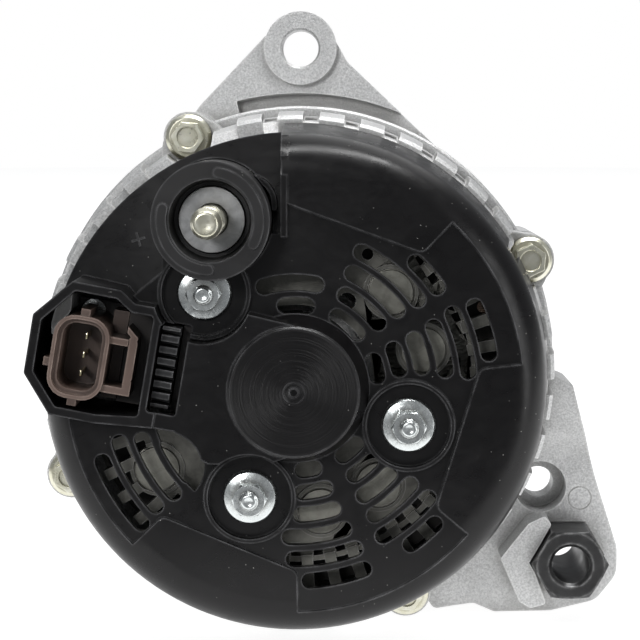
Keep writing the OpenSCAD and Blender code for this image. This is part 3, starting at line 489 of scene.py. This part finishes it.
def lathe(bm, centre, rows, sides=64, twist=None):
    """Turns rows of (radius, depth) about an axis along y; twist(radius, angle, depth) varies it."""
    rings = []
    for radius, depth in rows:
        ring = []
        for k in range(sides):
            angle = 2 * math.pi * k / sides
            r = radius if twist is None else twist(radius, angle, depth)
            ring.append(bm.verts.new(mm(centre[0] + r * math.cos(angle), depth,
                                        centre[1] + r * math.sin(angle))))
        rings.append(ring)
    loft(bm, rings)


HEX_SIDES = 48
HEX_CHAMFER = 0.8


def prism(bm, centre, across_flats, y1, y2):
    """A hexagonal prism with eased corners at both ends."""
    corner = across_flats / math.sqrt(3)
    ease_depth = HEX_CHAMFER * 0.5
    rings = []
    for depth, inset in ((y1, HEX_CHAMFER), (y1 + ease_depth, 0.0), (y2 - ease_depth, 0.0),
                         (y2, HEX_CHAMFER)):
        ring = []
        for k in range(HEX_SIDES):
            angle = 2 * math.pi * k / HEX_SIDES
            off_flat = (angle + math.pi / 6) % (math.pi / 3) - math.pi / 6
            r = min((across_flats / 2) / math.cos(off_flat), corner - inset)
            ring.append(bm.verts.new(mm(centre[0] + r * math.cos(angle), depth,
                                        centre[1] + r * math.sin(angle))))
        rings.append(ring)
    loft(bm, rings)


def threaded(bm, centre, major, depth_of_thread, pitch, y1, y2, sides=40):
    """A closed rod from y1 to y2 with a helical V thread; its first turn runs out at y1."""
    steps = int((y2 - y1) / pitch * 10)

    def radius(nominal, angle, depth):
        turn = ((depth - y1) / pitch - angle / (2 * math.pi)) % 1.0
        v = abs(turn * 2 - 1)
        v = min(1.0, max(0.0, (v - 0.12) / 0.76))
        fade = min(1.0, max(0.0, (depth - y1) / pitch + 0.15))
        return nominal - depth_of_thread * (1 - v) * fade - depth_of_thread * (1 - fade) * 0.6

    rows = [(major, y1 + (y2 - y1) * i / steps) for i in range(steps + 1)]
    lathe(bm, centre, rows, sides, radius)


TERMINAL = (-20.8, 43.8)
NUTS = ((-23.2, 24.7), (29.5, -9.6), (-11.7, -28.6))


def output_stud(bm):
    threaded(bm, TERMINAL, 4.0, 0.72, 1.25, -24.2, -4.4)
    lathe(bm, TERMINAL, [(1.2, -26.75), (2.2, -27.0), (2.9, -26.9), (3.15, -26.6), (3.2, -25.0),
                         (3.9, -24.15), (3.2, -24.0)], 48)
    lathe(bm, TERMINAL, [(3.75, -5.0), (3.75, 13.0)], 48)
    prism(bm, TERMINAL, 13.0, 6.0, 9.9)
    prism(bm, TERMINAL, 13.0, 13.0, 15.5)


def cover_stud_set(bm):
    for at in NUTS:
        threaded(bm, at, 2.5, 0.45, 0.8, -6.4, -3.0, 32)
        lathe(bm, at, [(0.9, -6.62), (1.2, -6.8), (1.8, -6.75), (2.0, -6.5), (2.0, -6.2)], 32)
        lathe(bm, at, [(2.45, -3.1), (2.45, 3.1)], 32)
        prism(bm, at, 8.0, 3.0, 29.4)


piece("output_stud", output_stud, "chromate_steel", "frame", "b_terminal_stud")
piece("cover_stud_set", cover_stud_set, "zinc_steel", "frame", "cover_studs")


def sweep(bm, points, radius, sides=8):
    """A round wire along points given as (x, depth, z) in millimetres."""
    path = [mm(*p) for p in points]
    rings = []
    for i, here in enumerate(path):
        before = path[i - 1] if i else here
        after = path[i + 1] if i < len(path) - 1 else here
        along = (after - before).normalized()
        out = Vector((here.x, 0.0, here.z)).normalized()
        side = along.cross(out).normalized()
        up = side.cross(along).normalized()
        rings.append([bm.verts.new(here + (up * math.cos(t) + side * math.sin(t)) * radius * 0.001)
                      for t in (2 * math.pi * k / sides for k in range(sides))])
    loft(bm, rings)


SLOT_COUNT = 36
WIRE_RADIUS = 0.62
FIRST_ROW, ROW_STEP = 54.3, 2.55


def hairpins(y_core, y_tip):
    """Coil ends as rows of wire loops that lean from one slot of the core to another."""

    def make(bm):
        way = 1 if y_tip > y_core else -1
        reach = abs(y_tip - y_core)
        for row in range(3):
            radius = FIRST_ROW + ROW_STEP * row
            for slot in range(SLOT_COUNT):
                for twin in (0, 1):
                    first = 2 * math.pi * (slot + 0.16 * (1 if twin else -1)) / SLOT_COUNT
                    spread = 2 * math.pi * 3 / SLOT_COUNT * (0.94 if twin else 1.0)
                    height = reach - 1.3 - 0.9 * twin - 0.3 * row
                    wobble = random.uniform(-0.25, 0.25)
                    points = []
                    for i in range(13):
                        t = i / 12
                        rise = math.sin(math.pi * t) ** 0.62
                        lean = t + 0.045 * math.sin(2 * math.pi * t)
                        angle = first + spread * lean
                        layer = radius + 1.15 * math.cos(math.pi * t) * (1 if row % 2 else -1) * 0.5
                        depth = y_core + way * (0.2 + (height + wobble) * rise)
                        points.append((layer * math.cos(angle), depth, layer * math.sin(angle)))
                    sweep(bm, points, WIRE_RADIUS, 7)

    return make


piece("rear_coil_ends", hairpins(46.0, 35.6), "copper", "frame", "stator_winding_rear")
piece("front_coil_ends", hairpins(78.0, 87.8), "copper", "frame", "stator_winding_front")


def field_turns(bm):
    """The field coil, whose outer layer shows its turns."""
    rows = []
    y = 56.2
    while y < 67.8:
        rows += [(38.75, y), (39.05, y + 0.2), (39.2, y + 0.4), (39.05, y + 0.6)]
        y += 0.8
    lathe(bm, (0, 0), [(25.0, 56.2)] + rows + [(38.75, 67.8), (25.0, 67.8)], 96)


piece("field_turns", field_turns, "copper", "rotor", "field_coil")

TAB_OUTLINE = [(-60.5, 24.6), (-57.0, 25.0), (-57.4, 20.5), (-59.3, 17.2), (-60.8, 14.0), (-62.6, 14.2),
               (-62.6, 17.0), (-61.4, 21.0)]


def housing_tab(bm):
    """Aluminium tab of the rear housing that shows inside the connector's shroud."""
    loft(bm, [[bm.verts.new(mm(x, depth, z)) for x, z in TAB_OUTLINE] for depth in (-1.0, 24.0)])


MARK_CENTRE = (-41.0, 38.0)
MARK_TURN = math.radians(18.0)
MARK_ARM, MARK_THICK = 1.9, 0.32
SHELF_START, SHELF_SLOPE = 34.0, 0.396


def polarity_mark(bm):
    """A plain raised plus sign that lies on the sloping shelf."""
    for along in (MARK_TURN, MARK_TURN + math.pi / 2):
        ux, uz = math.cos(along), math.sin(along)
        corners = [(MARK_CENTRE[0] + ux * a * MARK_ARM - uz * b * MARK_THICK,
                    MARK_CENTRE[1] + uz * a * MARK_ARM + ux * b * MARK_THICK)
                   for a, b in ((-1, -1), (1, -1), (1, 1), (-1, 1))]
        loft(bm, [[bm.verts.new(mm(x, (math.hypot(x, z) - SHELF_START) * SHELF_SLOPE - lift, z))
                   for x, z in corners] for lift in (0.22, -0.3)])


piece("housing_tab", housing_tab, "cast_aluminium", "frame", smooth=False)
piece("polarity_mark", polarity_mark, "black_plastic", "frame", smooth=False)

# ------------------------------------------------------------------ studio


def flat_material(name, colour, rough, glow):
    s = Shader(name)
    shade = s.blend(s.noise(3.0, 2.0), colour, tuple(c * 0.985 for c in colour))
    s.set(Base_Color=shade, Roughness=rough)
    s.bsdf.inputs["Emission Color"].default_value = (1.0, 1.0, 1.0, 1.0)
    s.bsdf.inputs["Emission Strength"].default_value = glow
    s.bsdf.inputs["Specular IOR Level"].default_value = 0.0
    return s.done()


def disc_floor(radius, front, level):
    """A back-lit table whose front edge stops short of the camera: the cover doesn't mirror it."""
    bm = bmesh.new()
    bmesh.ops.create_circle(bm, cap_ends=True, segments=96, radius=radius)
    bmesh.ops.translate(bm, verts=bm.verts, vec=(0.0, front + radius, level))
    mesh = bpy.data.meshes.new("floor")
    bm.to_mesh(mesh)
    bm.free()
    mesh.materials.append(flat_material("pale_floor", (0.35, 0.35, 0.35), 0.8, 0.9))
    obj = bpy.data.objects.new("floor", mesh)
    SCENE.collection.objects.link(obj)


disc_floor(3.2, -0.24, CAD_BOX[0].z - 0.0002)
SCENE.view_settings.view_transform = "Standard"

world = bpy.data.worlds.new("world")
SCENE.world = world
world.use_nodes = True
tree = world.node_tree
tree.nodes.clear()
world_out = tree.nodes.new("ShaderNodeOutputWorld")
seen = tree.nodes.new("ShaderNodeBackground")
seen.inputs[0].default_value = (1.0, 1.0, 1.0, 1.0)
seen.inputs[1].default_value = 1.0
fill = tree.nodes.new("ShaderNodeBackground")
fill.inputs[0].default_value = (0.95, 0.97, 1.0, 1.0)
fill.inputs[1].default_value = 0.21
ray = tree.nodes.new("ShaderNodeLightPath")
mixer = tree.nodes.new("ShaderNodeMixShader")
tree.links.new(ray.outputs["Is Camera Ray"], mixer.inputs[0])
tree.links.new(fill.outputs[0], mixer.inputs[1])
tree.links.new(seen.outputs[0], mixer.inputs[2])
tree.links.new(mixer.outputs[0], world_out.inputs["Surface"])


def softbox(name, location, target, width, height, power):
    data = bpy.data.lights.new(name, "AREA")
    data.shape = "RECTANGLE"
    data.size = width
    data.size_y = height
    data.energy = power
    light = bpy.data.objects.new(name, data)
    light.location = location
    light.rotation_euler = (Vector(target) - Vector(location)).to_track_quat("-Z", "Y").to_euler()
    SCENE.collection.objects.link(light)


CENTRE = (0.0, -0.06, 0.0)
softbox("ceiling_back", (0.0, 1.7, 1.9), (0.0, 1.7, 0.0), 3.0, 3.0, 36.0)
softbox("key_left", (-0.43, -1.20, 0.43), CENTRE, 0.30, 0.30, 4.0)
softbox("fill_right", (1.0, -0.80, 0.15), CENTRE, 0.25, 0.9, 3.0)
softbox("top", (0.15, -0.35, 1.0), CENTRE, 0.8, 0.12, 7.0)
